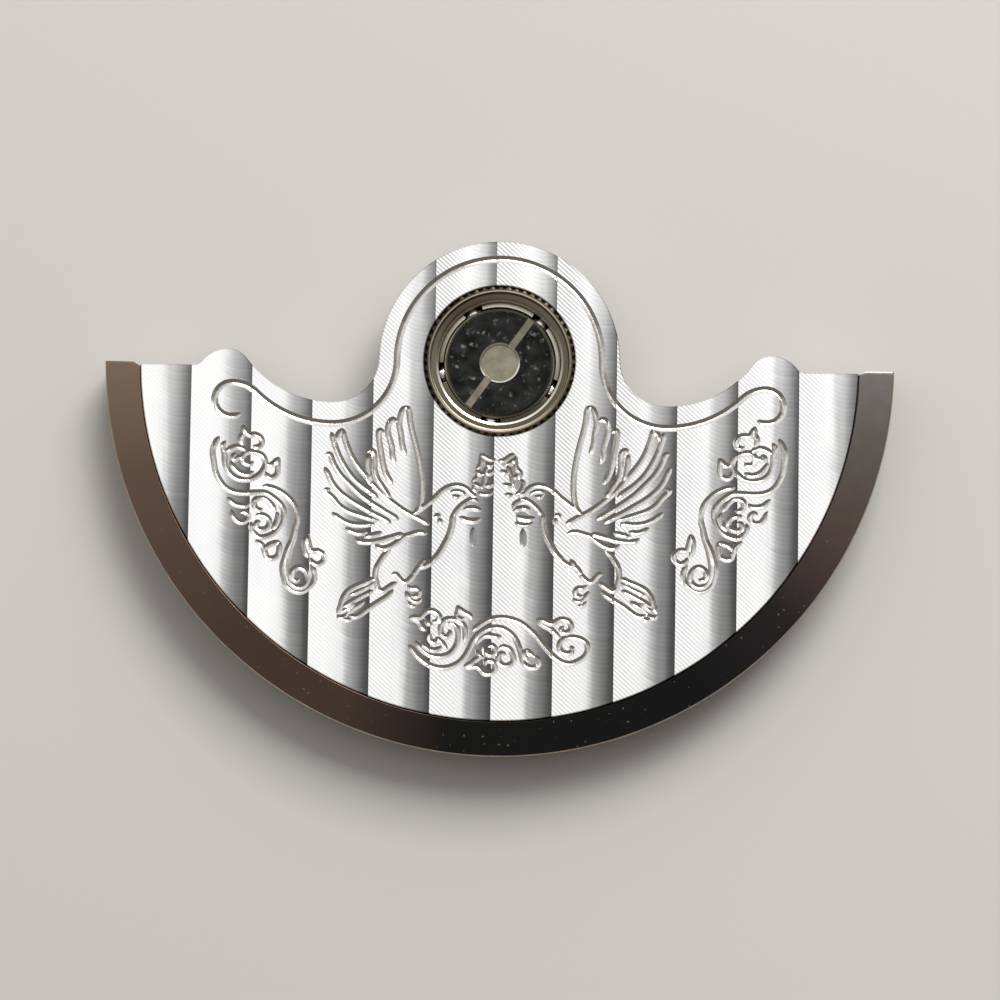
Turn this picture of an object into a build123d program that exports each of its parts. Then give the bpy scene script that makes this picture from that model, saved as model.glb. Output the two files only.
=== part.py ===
from build123d import *
import math
import os

# Automatic winding rotor of a wristwatch, in millimetres.
# Origin on the rotor's axis, at the face that seats on the movement. +Z points out of the movement.
# The heavy half lies towards -Y, and the plate is symmetric about the YZ plane.

# Plate and rim, seen from above
rim_outer_radius = 13.0
rim_band_width = 1.18
lobe_radius = 3.97
scoop_x_share = 0.3078
scoop_depth = 1.43
scoop_flank_share = 0.8256
shoulder_set_in = 2.88
shoulder_rise = 0.29
shoulder_outer_radius = 1.108
heel_radius = 0.3
end_edge_drop = 0.26
rim_end_drop = 0.18
rim_end_chamfer_length = 0.24
rim_end_chamfer_width = 0.12

# Plate, from the side
plate_thickness = 0.5
plate_underside = 1.13
flute_pitch = 2.0
flute_depth = 0.06
flute_offset = -0.14
flute_crown_share = 0.6
flute_crown_drop_share = 0.22

# Border groove of the plate
groove_width = 0.18
groove_depth = 0.06
groove_hub_set_in = 0.59
groove_scoop_set_in = 0.72
groove_flank_share = 0.7524
groove_curl_set_in = 0.14
groove_curl_drop = 1.12
groove_curl_radius = 0.565
groove_curl_turn = 215

# Heavy segment
segment_ledge_width = 1.52
segment_height = 1.9
segment_sink = 0.06
segment_edge_chamfer = 0.05
segment_foot_chamfer = 0.12
segment_end_set_back = 0.05
rivet_count = 5
rivet_first_angle = -18
rivet_last_angle = -162
rivet_shank_radius = 0.32
rivet_head_radius = 0.55
rivet_head_height = 0.23
rivet_plate_reach = 0.25

# Ball bearing
ball_count = 5
ball_radius = 0.3
ball_pitch_radius = 1.925
ball_first_angle = 46
ball_clearance = 0.03
inner_land_drop = 0.085
outer_land_rise = 0.105
race_cap = 0.08
race_wall = 0.495
race_edge_chamfer = 0.025
core_boss_drop = 0.03
cage_clearance = 0.03
cage_floor = 0.04
cage_ring_height = 0.11
cage_top = 1.05

# Outer ring, cover ring and drive gear
ring_floor = 0.05
ring_wall = 0.12
ring_sink = 0.05
knurl_height = 0.08
knurl_count = 56
flange_reach = 0.38
flange_thickness = 0.1
cover_wall = 0.045
cover_sink = 0.2
cover_chamfer = 0.06
gear_module = 0.09
gear_rim_width = 0.73
gear_thickness = 0.32
gear_tip_share = 0.22
gear_root_share = 0.34
gear_addendum_share = 1.0
gear_dedendum_share = 1.2

# Centre screw
head_set_back = 0.07
head_height = 0.27
head_chamfer = 0.03
slot_width = 0.25
slot_depth = 0.12
slot_angle = 54.5
recess_radius = 0.655
recess_depth = 0.17
shoulder_pin_radius = 0.7
shoulder_pin_clearance = 0.02
shoulder_pin_lift = 0.02
thread_radius = 0.5
thread_reach = 0.65
thread_tip_chamfer = 0.1

# One overrun for every cut that runs past a face
overrun = 0.5

# Plate and segment, worked out
plate_radius = rim_outer_radius - rim_band_width
plate_top = plate_underside + plate_thickness
shoulder_x = plate_radius - shoulder_set_in
scoop_x = lobe_radius + scoop_x_share * (shoulder_x - lobe_radius)
segment_inner_radius = plate_radius - segment_ledge_width
segment_top = plate_top - segment_sink
segment_floor = segment_top - segment_height

# Bearing, worked out from the ball circle inwards and outwards
track_radius = ball_radius + ball_clearance
ball_height = cage_floor + cage_ring_height + track_radius
race_top = ball_height + ball_radius + race_cap
inner_land_radius = ball_pitch_radius - inner_land_drop
race_bore_radius = ball_pitch_radius - track_radius - race_wall
head_radius = inner_land_radius - head_set_back
outer_land_radius = ball_pitch_radius + outer_land_rise
cover_radius = ball_pitch_radius + track_radius + cover_wall
ring_radius = cover_radius + ring_wall
ring_top = plate_top - ring_sink
knurl_tip_radius = ring_radius + knurl_height
flange_radius = ring_radius + flange_reach
gear_top = plate_underside - flange_thickness
gear_teeth = round(2 * (ring_radius + gear_rim_width) / gear_module)


def wave(hub, depth, flank_share, crest):
    """Centres and joints of the hollow beside the hub, as arcs that meet smoothly.

    The first arc leaves the hub circle and ends at the hollow's lowest point, the second climbs from
    there, and the third turns over to the crest. The last two share out one sum of radii.
    """
    low = Vector(scoop_x, -depth)
    near = (scoop_x**2 + depth**2 - hub**2) / (2 * (hub + depth))
    near_centre = low + Vector(0, near)
    leave = near_centre.normalized() * hub
    across, rise = crest.X - low.X, crest.Y - low.Y
    radii = (across**2 + rise**2) / (2 * rise)
    flank = flank_share * radii
    far_centre = low + Vector(0, flank)
    crown_centre = crest - Vector(0, radii - flank)
    meet = far_centre + (crown_centre - far_centre).normalized() * flank
    return leave, low, meet, near_centre, far_centre, crown_centre


def middle(start, end, centre):
    """The point halfway along the shorter arc from start to end about centre."""
    half = (start - centre) + (end - centre)
    return centre + half.normalized() * (start - centre).length


def arc(start, end, centre):
    """The shorter arc from start to end about centre."""
    return ThreePointArc(start, middle(start, end, centre), end)


def mirrored(edges):
    """The edges and their mirror images about the YZ plane."""
    return edges + [mirror(edge, about=Plane.YZ) for edge in edges]


def plate_outline():
    """The plate seen from above: hub lobe, hollows, shoulders, end edges and the round side."""
    crest = Vector(shoulder_x, shoulder_rise)
    leave, low, meet, near, far, crown = wave(lobe_radius, scoop_depth, scoop_flank_share, crest)
    outer_centre = crest - Vector(0, shoulder_outer_radius)
    heel_y = heel_radius - end_edge_drop
    reach = shoulder_outer_radius + heel_radius
    heel_centre = Vector(shoulder_x + math.sqrt(reach**2 - (heel_y - outer_centre.Y) ** 2), heel_y)
    turn = outer_centre + (heel_centre - outer_centre).normalized() * shoulder_outer_radius
    heel = heel_centre - Vector(0, heel_radius)
    corner = Vector(math.sqrt(plate_radius**2 - end_edge_drop**2), -end_edge_drop)
    half = [
        arc(Vector(0, lobe_radius), leave, Vector(0, 0)),
        arc(leave, low, near),
        arc(low, meet, far),
        arc(meet, crest, crown),
        arc(crest, turn, outer_centre),
        arc(turn, heel, heel_centre),
        Line(heel, corner),
        arc(corner, Vector(0, -plate_radius), Vector(0, 0)),
    ]
    return make_face(Curve() + mirrored(half))


def fluted_top():
    """The plate's profile along X: flutes that fall to the right, with a step up at each edge."""
    first = math.floor((-rim_outer_radius - flute_offset) / flute_pitch)
    last = math.ceil((rim_outer_radius - flute_offset) / flute_pitch)
    edges = []
    for number in range(first, last):
        left = flute_offset + number * flute_pitch
        right = left + flute_pitch
        foot = (right, plate_top - flute_depth)
        crown_x = left + flute_crown_share * flute_pitch
        crown_z = plate_top - flute_crown_drop_share * flute_depth
        edges.append(ThreePointArc((left, plate_top), (crown_x, crown_z), foot))
        edges.append(Line(foot, (right, plate_top)))
    start, end = flute_offset + first * flute_pitch, flute_offset + last * flute_pitch
    base = ((end, plate_underside), (start, plate_underside))
    edges.append(Polyline((end, plate_top), *base, (start, plate_top)))
    return make_face(Plane.XZ * (Curve() + edges))


def border_groove():
    """The line engraved inside the plate's edge, which ends in a curl at each shoulder."""
    hub = lobe_radius - groove_hub_set_in
    depth = scoop_depth + groove_scoop_set_in
    crest = Vector(shoulder_x - groove_curl_set_in, shoulder_rise - groove_curl_drop)
    leave, low, meet, near, far, crown = wave(hub, depth, groove_flank_share, crest)
    curl_centre = crest - Vector(0, groove_curl_radius)
    end_angle = 90 - groove_curl_turn
    half = [
        arc(Vector(0, hub), leave, Vector(0, 0)),
        arc(leave, low, near),
        arc(low, meet, far),
        arc(meet, crest, crown),
        CenterArc(curl_centre, groove_curl_radius, 90, end_angle - 90),
    ]
    line = trace(Wire(half), line_width=groove_width)
    sink = flute_depth + groove_depth
    cut = Pos(0, 0, plate_top - sink) * extrude(line, sink + overrun)
    return cut + mirror(cut, about=Plane.YZ)


def rotor_plate():
    """The thin fluted plate that carries the heavy segment."""
    body = extrude(plate_outline(), plate_thickness + overrun)
    flutes = extrude(fluted_top(), rim_outer_radius + overrun, both=True)
    plate = (Pos(0, 0, plate_underside) * body) & flutes
    hole = Pos(0, 0, plate_underside) * cylinder(knurl_tip_radius, -overrun, plate_thickness + overrun)
    return plate - hole - border_groove() - rivets()


def cylinder(radius, low, high):
    """An upright cylinder on the axis from low to high."""
    return Pos(0, 0, low) * Cylinder(radius, high - low, align=(Align.CENTER, Align.CENTER, Align.MIN))


def turned(*points):
    """A body turned about the axis from its outline in radius and height."""
    return revolve(make_face(Plane.XZ * Polyline(*points, close=True)), Axis.Z)


def placed_round(shape, radius, angle):
    """A copy of the shape at a radius and an angle about the axis, turned with the angle."""
    return Rot(0, 0, angle) * Pos(radius, 0, 0) * shape


def rivet_angles():
    step = (rivet_last_angle - rivet_first_angle) / (rivet_count - 1)
    return [rivet_first_angle + step * number for number in range(rivet_count)]


def rivets():
    """Countersunk rivets that hold the segment from below and end blind inside the plate."""
    reach = plate_underside + rivet_plate_reach
    shoulder = segment_floor + rivet_head_height
    rivet = turned(
        (0, segment_floor),
        (rivet_head_radius, segment_floor),
        (rivet_shank_radius, shoulder),
        (rivet_shank_radius, reach),
        (0, reach),
    )
    radius = (segment_inner_radius + plate_radius) / 2
    return Compound([placed_round(rivet, radius, angle) for angle in rivet_angles()])


def below(edge_y):
    """Everything on the heavy side of a line along X."""
    size = 2 * (rim_outer_radius + overrun)
    return Pos(0, edge_y, 0) * Box(size, size, size, align=(Align.CENTER, Align.MAX, Align.CENTER))


def heavy_segment():
    """The dense rim: a band that shows round the plate, and a ledge that runs under its edge."""
    edge, foot = segment_edge_chamfer, segment_foot_chamfer
    band = turned(
        (plate_radius, segment_floor),
        (rim_outer_radius - foot, segment_floor),
        (rim_outer_radius, segment_floor + foot),
        (rim_outer_radius, segment_top - edge),
        (rim_outer_radius - edge, segment_top),
        (plate_radius + edge, segment_top),
        (plate_radius, segment_top - edge),
    )
    ledge = turned(
        (segment_inner_radius + foot, segment_floor),
        (plate_radius, segment_floor),
        (plate_radius, plate_underside),
        (segment_inner_radius, plate_underside),
        (segment_inner_radius, segment_floor + foot),
    )
    band = band & below(-rim_end_drop)
    for side in (-1, 1):
        corner = Vector(side * plate_radius, -rim_end_drop)
        wedge = Polyline(
            corner - Vector(side * overrun, rim_end_chamfer_width),
            corner - Vector(0, rim_end_chamfer_width),
            corner + Vector(side * rim_end_chamfer_length, 0),
            corner + Vector(side * rim_end_chamfer_length, overrun),
            corner + Vector(-side * overrun, overrun),
            close=True,
        )
        notch = extrude(make_face(wedge), segment_height + 2 * overrun)
        band -= Pos(0, 0, segment_floor - overrun) * notch
    ledge = ledge & below(-end_edge_drop - segment_end_set_back)
    return band + ledge - rivets()


def track(start, side, level):
    """The quarter of the ball track from the ball circle's own height to the land at a radius."""
    centre = Vector(ball_pitch_radius, ball_height)
    reach = math.sqrt(track_radius**2 - (start - ball_pitch_radius) ** 2)
    deepest = Vector(ball_pitch_radius + side * track_radius, ball_height)
    return arc(deepest, Vector(start, ball_height + level * reach), centre)


def with_track(track_edge, *points):
    """A turned body whose outline is the ball track and then the points."""
    outline = Curve() + [track_edge, Polyline(track_edge @ 1, *points, track_edge @ 0)]
    return revolve(make_face(Plane.XZ * outline), Axis.Z)


def inner_race_lower():
    """The core that seats on the movement, with the lower half of the inner ball track."""
    bore = shoulder_pin_radius + shoulder_pin_clearance
    boss_top = race_top - core_boss_drop
    return with_track(
        track(inner_land_radius, -1, -1),
        (inner_land_radius, race_edge_chamfer),
        (inner_land_radius - race_edge_chamfer, 0),
        (bore, 0),
        (bore, boss_top),
        (race_bore_radius, boss_top),
        (race_bore_radius, ball_height),
    )


def inner_race_upper():
    """The ring over the core's boss, with the upper half of the inner ball track."""
    return with_track(
        track(inner_land_radius, -1, 1),
        (inner_land_radius, race_top - race_edge_chamfer),
        (inner_land_radius - race_edge_chamfer, race_top),
        (race_bore_radius, race_top),
        (race_bore_radius, ball_height),
    )


def bearing_outer_ring():
    """The knurled ring pressed in the plate, with the lower half of the outer ball track."""
    ring = with_track(
        track(outer_land_radius, 1, -1),
        (outer_land_radius, ring_floor),
        (ring_radius, ring_floor),
        (ring_radius, plate_underside - flange_thickness),
        (flange_radius, plate_underside - flange_thickness),
        (flange_radius, plate_underside),
        (ring_radius, plate_underside),
        (ring_radius, ring_top),
        (cover_radius, ring_top),
        (cover_radius, ball_height),
    )
    step = 360 / knurl_count
    points = []
    for number in range(knurl_count):
        points.append(Vector(knurl_tip_radius, 0).rotate(Axis.Z, number * step))
        points.append(Vector(ring_radius, 0).rotate(Axis.Z, (number + 1 / 2) * step))
    star = make_face(Polyline(*points, close=True))
    knurl = Pos(0, 0, plate_underside) * extrude(star, ring_top - plate_underside)
    core = cylinder((cover_radius + ring_radius) / 2, plate_underside - overrun, ring_top + overrun)
    return ring + (knurl - core)


def bearing_cover_ring():
    """The ring that closes the bearing from above, with the upper half of the outer ball track."""
    top = plate_top - cover_sink
    return with_track(
        track(outer_land_radius, 1, 1),
        (outer_land_radius, top - cover_chamfer),
        (outer_land_radius + cover_chamfer, top),
        (cover_radius - cover_chamfer, top),
        (cover_radius, top - cover_chamfer),
        (cover_radius, ball_height),
    )


def drive_gear():
    """The toothed ring under the plate that drives the winding train."""
    pitch_radius = gear_module * gear_teeth / 2
    tip = pitch_radius + gear_addendum_share * gear_module
    root = pitch_radius - gear_dedendum_share * gear_module
    step = 360 / gear_teeth
    flank = ((root, -gear_root_share), (tip, -gear_tip_share), (tip, gear_tip_share), (root, gear_root_share))
    points = []
    for number in range(gear_teeth):
        for radius, share in flank:
            points.append(Vector(radius, 0).rotate(Axis.Z, (number + share) * step))
    blank = extrude(make_face(Polyline(*points, close=True)), gear_thickness)
    floor = gear_top - gear_thickness
    return Pos(0, 0, floor) * blank - cylinder(ring_radius, floor - overrun, gear_top + overrun)


def ball_angles():
    return [ball_first_angle + number * 360 / ball_count for number in range(ball_count)]


def ball_cage():
    """The thin crown that spaces the balls, open above each ball."""
    inner, outer = inner_land_radius + cage_clearance, outer_land_radius - cage_clearance
    cage = cylinder(outer, cage_floor, cage_top) - cylinder(inner, cage_floor - overrun, cage_top + overrun)
    width = 2 * track_radius
    length = outer - inner + 2 * overrun
    window = Rot(0, 90, 0) * Cylinder(track_radius, length)
    height = cage_top + overrun - ball_height
    window += Box(length, width, height, align=(Align.CENTER, Align.CENTER, Align.MIN))
    for angle in ball_angles():
        cage -= placed_round(Pos(0, 0, ball_height) * window, ball_pitch_radius, angle)
    return cage


def ball(number):
    sphere = Pos(0, 0, ball_height) * Sphere(ball_radius)
    return placed_round(sphere, ball_pitch_radius, ball_angles()[number])


def centre_screw():
    """The slotted screw that clamps the inner races to the movement."""
    top = race_top + head_height
    tip = -thread_reach
    screw = turned(
        (0, tip),
        (thread_radius - thread_tip_chamfer, tip),
        (thread_radius, tip + thread_tip_chamfer),
        (thread_radius, shoulder_pin_lift),
        (shoulder_pin_radius, shoulder_pin_lift),
        (shoulder_pin_radius, race_top),
        (head_radius, race_top),
        (head_radius, top - head_chamfer),
        (head_radius - head_chamfer, top),
        (0, top),
    )
    length, height = 2 * (head_radius + overrun), slot_depth + overrun
    slot = Box(length, slot_width, height, align=(Align.CENTER, Align.CENTER, Align.MIN))
    screw -= Pos(0, 0, top - slot_depth) * Rot(0, 0, slot_angle) * slot
    return screw - cylinder(recess_radius, top - recess_depth, top + overrun)


pieces = {
    "rotor_plate": rotor_plate(),
    "heavy_segment": heavy_segment(),
    "segment_rivets": rivets(),
    "bearing_outer_ring": bearing_outer_ring(),
    "bearing_cover_ring": bearing_cover_ring(),
    "drive_gear": drive_gear(),
    "inner_race_lower": inner_race_lower(),
    "inner_race_upper": inner_race_upper(),
    "ball_cage": ball_cage(),
    "centre_screw": centre_screw(),
}
for ball_number in range(ball_count):
    pieces[f"ball_{ball_number + 1}"] = ball(ball_number)

os.makedirs("parts", exist_ok=True)
for node, shape in pieces.items():
    export_step(shape, f"parts/{node}.step")
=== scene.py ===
import math
import bpy
import bmesh
import numpy as np
from mathutils import Matrix, Vector
from mathutils.geometry import delaunay_2d_cdt


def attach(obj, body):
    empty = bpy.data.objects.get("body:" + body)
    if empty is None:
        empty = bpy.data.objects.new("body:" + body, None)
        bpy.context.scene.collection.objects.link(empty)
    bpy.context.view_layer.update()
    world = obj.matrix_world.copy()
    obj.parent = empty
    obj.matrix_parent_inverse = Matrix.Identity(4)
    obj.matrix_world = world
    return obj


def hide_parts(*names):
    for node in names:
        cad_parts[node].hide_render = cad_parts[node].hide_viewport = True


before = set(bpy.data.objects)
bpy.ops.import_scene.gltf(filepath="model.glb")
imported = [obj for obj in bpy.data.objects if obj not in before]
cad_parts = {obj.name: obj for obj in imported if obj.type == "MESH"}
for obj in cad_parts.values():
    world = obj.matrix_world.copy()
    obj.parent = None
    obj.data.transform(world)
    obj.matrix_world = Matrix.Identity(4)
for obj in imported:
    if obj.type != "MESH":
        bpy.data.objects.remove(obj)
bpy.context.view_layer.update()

# Sizes in millimetres, the same as the solids'. Every mesh is made in millimetres and scaled at its end.
MM = 0.001
SLIVER = 1e-4  # the height of a face that counts as having no area
RIM_OUTER, PLATE_RADIUS, LEDGE_INNER = 13.0, 11.82, 10.3
PLATE_UNDER, PLATE_TOP, BROKEN_EDGE = 1.13, 1.63, 0.028
RIM_TOP, RIM_FLOOR = 1.57, -0.33
RIM_END, PLATE_END, LEDGE_END = 0.18, 0.26, 0.31
NOTCH_LENGTH = 0.24
RIVETS, RIVET_STEP, FIRST_RIVET, SHANK, SHANK_TOP = 5, 36, -18, 0.32, PLATE_UNDER + 0.25
LOBE, SCOOP_X, SCOOP_DEPTH, SCOOP_FLANK = 3.97, 5.5, 1.43, 3.55
SHOULDER_X, SHOULDER_Y, SHOULDER_OUTER, HEEL = 8.94, 0.29, 1.108, 0.3
GROOVE_HUB, GROOVE_DEPTH, GROOVE_FLANK = 3.38, 2.15, 3.6
CURL_X, CURL_Y, CURL_RADIUS, CURL_TURN, CURL_STEPS = 8.8, -0.83, 0.565, 215, 10
FLUTE_PITCH, FLUTE_OFFSET, FLUTE_END, FLUTE_CUTS = 2.0, -0.14, 0.9965, 8
STROKE_STEP, CUT_EDGE = 0.045, 0.001
RING_IN, RING_OUT, KNURL_TIP, KNURLS = 2.30, 2.42, 2.50, 56
OUTER_LAND, INNER_LAND, CORE_WALL, BORE = 2.03, 1.84, 1.1, 0.72
FLANGE, FLANGE_UNDER = 2.8, 1.03
TOOL_PITCH, TOOL_SLOPE, TOOL_BEND, TOOL_LEVEL = 0.147, 0.9, 0.9, 1.6
BALLS, BALL_RADIUS, BALL_CIRCLE, BALL_HEIGHT, FIRST_BALL = 5, 0.3, 1.925, 0.48, 46.0
TRACK = 0.33
HEAD, HEAD_TOP, RACE_TOP = 1.77, 1.13, 0.86
FLOOR = -0.65


# Lines and arcs in the plane

def arc(centre, start, end, step=0.04):
    """Points along the shorter arc from start to end about the centre."""
    (cx, cy), (sx, sy), (ex, ey) = centre, start, end
    radius = math.hypot(sx - cx, sy - cy)
    a, b = math.atan2(sy - cy, sx - cx), math.atan2(ey - cy, ex - cx)
    turn = (b - a + math.pi) % (2 * math.pi) - math.pi
    count = max(2, int(abs(turn) * radius / step))
    return [(cx + radius * math.cos(a + turn * k / count), cy + radius * math.sin(a + turn * k / count))
            for k in range(count + 1)]


def wave(hub, depth, flank, crest):
    """From the top of the hub circle down into the hollow and up to the crest, on tangent arcs."""
    low = (SCOOP_X, -depth)
    near = (SCOOP_X ** 2 + depth ** 2 - hub ** 2) / (2 * (hub + depth))
    near_centre, far_centre = Vector((low[0], low[1] + near)), Vector((low[0], low[1] + flank))
    leave = near_centre.normalized() * hub
    across, rise = crest[0] - low[0], far_centre.y - crest[1]
    crown = (across ** 2 + rise ** 2 - flank ** 2) / (2 * (flank - rise))
    crown_centre = Vector((crest[0], crest[1] - crown))
    meet = far_centre + (crown_centre - far_centre).normalized() * flank
    return (arc((0, 0), (0, hub), leave) + arc(near_centre, leave, low)[1:]
            + arc(far_centre, low, meet)[1:] + arc(crown_centre, meet, crest)[1:])


def plate_outline():
    """The plate's closed outline, anticlockwise from the left end of its round side."""
    crest = (SHOULDER_X, SHOULDER_Y)
    outer = Vector((SHOULDER_X, SHOULDER_Y - SHOULDER_OUTER))
    heel_y = HEEL - PLATE_END
    heel = Vector((SHOULDER_X + math.sqrt((SHOULDER_OUTER + HEEL) ** 2 - (heel_y - outer.y) ** 2), heel_y))
    turn = outer + (heel - outer).normalized() * SHOULDER_OUTER
    corner = (math.sqrt(PLATE_RADIUS ** 2 - PLATE_END ** 2), -PLATE_END)
    half = (wave(LOBE, SCOOP_DEPTH, SCOOP_FLANK, crest) + arc(outer, crest, turn)[1:]
            + arc(heel, turn, (heel.x, -PLATE_END))[1:] + [corner] + arc((0, 0), corner, (0, -PLATE_RADIUS))[1:])
    return (half + [(-x, y) for x, y in half[-2:0:-1]])[::-1]


def sideways(steps):
    """Unit vectors to the left of the steps."""
    steps = steps / np.linalg.norm(steps, axis=1)[:, None]
    return np.stack([-steps[:, 1], steps[:, 0]], 1)


def inset(loop, width):
    """The closed loop moved to its left by the width."""
    points = np.array(loop)
    after, before = sideways(np.roll(points, -1, 0) - points), sideways(points - np.roll(points, 1, 0))
    normal = after + before
    normal /= np.maximum(np.sum(normal * after, 1), 0.7)[:, None]
    return [tuple(p) for p in points + width * normal]


def length_along(points):
    """The line's length up to each of its points."""
    return np.concatenate([[0], np.cumsum(np.linalg.norm(np.diff(points, axis=0), axis=1))])


def even(points):
    """The line's points again, at even steps."""
    p = np.array(points, float)
    along = length_along(p)
    count = max(3, int(round(along[-1] / STROKE_STEP)))
    at = np.linspace(0, along[-1], count + 1)
    return np.stack([np.interp(at, along, p[:, 0]), np.interp(at, along, p[:, 1])], 1)


def smooth(row):
    """A smooth line at even steps through a row's points."""
    p = np.array(row).reshape(-1, 2).cumsum(0) / 100
    p = np.vstack([2 * p[0] - p[1], p, 2 * p[-1] - p[-2]])
    out = []
    for a, b, c, d in zip(p, p[1:], p[2:], p[3:]):
        count = max(2, int(np.linalg.norm(c - b) / STROKE_STEP * 1.5))
        for t in (k / count for k in range(count)):
            out.append(0.5 * (2 * b + (c - a) * t + (2 * a - 5 * b + 4 * c - d) * t * t
                              + (3 * b - 3 * c + d - a) * t ** 3))
    return even(out + [p[-2]])


# The engraving, placed on the plate. Each row is the middle of one cut: the x and y of its start and then
# the steps from point to point, in hundredths of a millimetre.
DOVE = [
    # far wing
    (-307, -152, 11, -16, 5, -37, 8, -35, 10, -35, 10, -40, 8, -40, 5, -40, 1, -40, -4, -37, -8, -25, -15, -15),
    (-307, -152, -9, -14, -7, -19, -4, -30, 6, -30, 4, -30, 5, -20, 8, -25),
    (-332, -208, -9, 7, -10, 1, -9, -12, -4, -28, 14, -50, 3, -30, 9, -28),
    (-375, -244, -9, 7, -10, -3, 3, -35, 10, -55, 7, -30, 10, -25, 19, -30),
    (-432, -308, 11, 6, 14, -13, 2, -50, 11, -33, 15, -22, 15, -23, 14, -15),
    (-430, -314, 1, -31, 7, -30, 12, -30),
    # near wing
    (-512, -230, 4, -25, 12, -35, 15, -33, 20, -30, 25, -30, 27, -32, 28, -28, 30, -25, 30, -22, 30, -18, 35, -17, 35,
     -20),
    (-551, -242, 7, -23, 10, -30, 13, -30, 20, -35, 25, -33, 30, -27, 30, -20, 25, -20),
    (-512, -230, -14, -20, -10, -22, -8, -3),
    (-569, -317, 16, -1, 14, -32, 23, -35, 30, -30, 35, -33, 35, -25, 35, -22, 30, -18, 30, -17),
    (-571, -358, 12, -22, 15, -30, 23, -28, 35, -27, 40, -23, 35, -20, 35, -17, 30, -17),
    (-548, -430, -16, -8, 23, -22, 22, -25, 28, -18, 35, -12, 35, -10, 35, -8),
    (-544, -508, 15, -12, 23, -15, 30, -11, 35, -2, 30, 4, 7, -10),
    (-499, -558, 18, -10, 25, -7, 30, 4),
    (-466, -592, 15, -10, 30, -2, 35, 6, 35, 10, 35, 10, 12, -5),
    (-436, -587, 40, 9, 20, 8),
    (-396, -608, 5, -12, 20, -4, 25, 9, 25, 17, 17, 14, 18, 6, 30, 8, 30, -3),
    # head, breast and belly
    (-279, -513, 23, 18, 25, 20, 25, 20, 20, 20, 25, 16, 30, 5, 25, -8, 20, -18, 18, -10),
    (-68, -453, -13, -4, -16, -7, -19, -13, -17, -18, -11, -17, -8, -1),
    (-198, -650, -18, -18, -20, -12, -20, -6, -10, -14, -12, -16),
    (-236, -656, -10, -16, -14, -12),
    (-156, -441, 10, 7, 17, 1, 15, -5, 9, -9),
    (-150, -446, 12, -6, 15, 2),
    (-264, -700, -12, -15, -15, -15, -13, -4, -12, 10, -15, 16, -14, -2),
    (-208, -522, 11, 8, 13, -1),
    (-190, -520, 2, -12, 4, -13),
    (-350, -622, -8, -12, -14, -16, -12, -20, -10, -20, -3, -25, 6, -29, 7, -16, 13, -3, 20, 13, 15, 10, 12, 4),
    # feet
    (-292, -744, 14, -10, 16, 0, 10, -12, -10, -14, -18, 2),
    (-298, -762, 12, -20, 16, -14, 18, 2, 8, 10),
    (-290, -798, 14, -12, 16, -2),
    # tail
    (-396, -720, -30, -15, -35, -15, -25, -16, -16, -24, -8, -30, -10, -22),
    (-482, -780, 37, 18, 44, 24),
    (-501, -818, 31, 20, 35, 20, 34, 16),
    (-336, -760, -20, -20, -30, -20, -30, -20, -29, -22, -21, -8, -19, 7),
    (-430, -798, -25, -16, -23, -16, -12, -14),
    (-520, -842, 8, -11, 14, 3, 12, 12),
    (-498, -850, 6, -10, 14, 2, 12, 10),
    (-460, -804, -25, -16, -19, -14),
]
BREAST = [
    (-146, -502, 0, -18, -1, -18, -5, -23, -8, -24, -11, -21, -13, -24, -16, -22, -18, -16),
]
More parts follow.
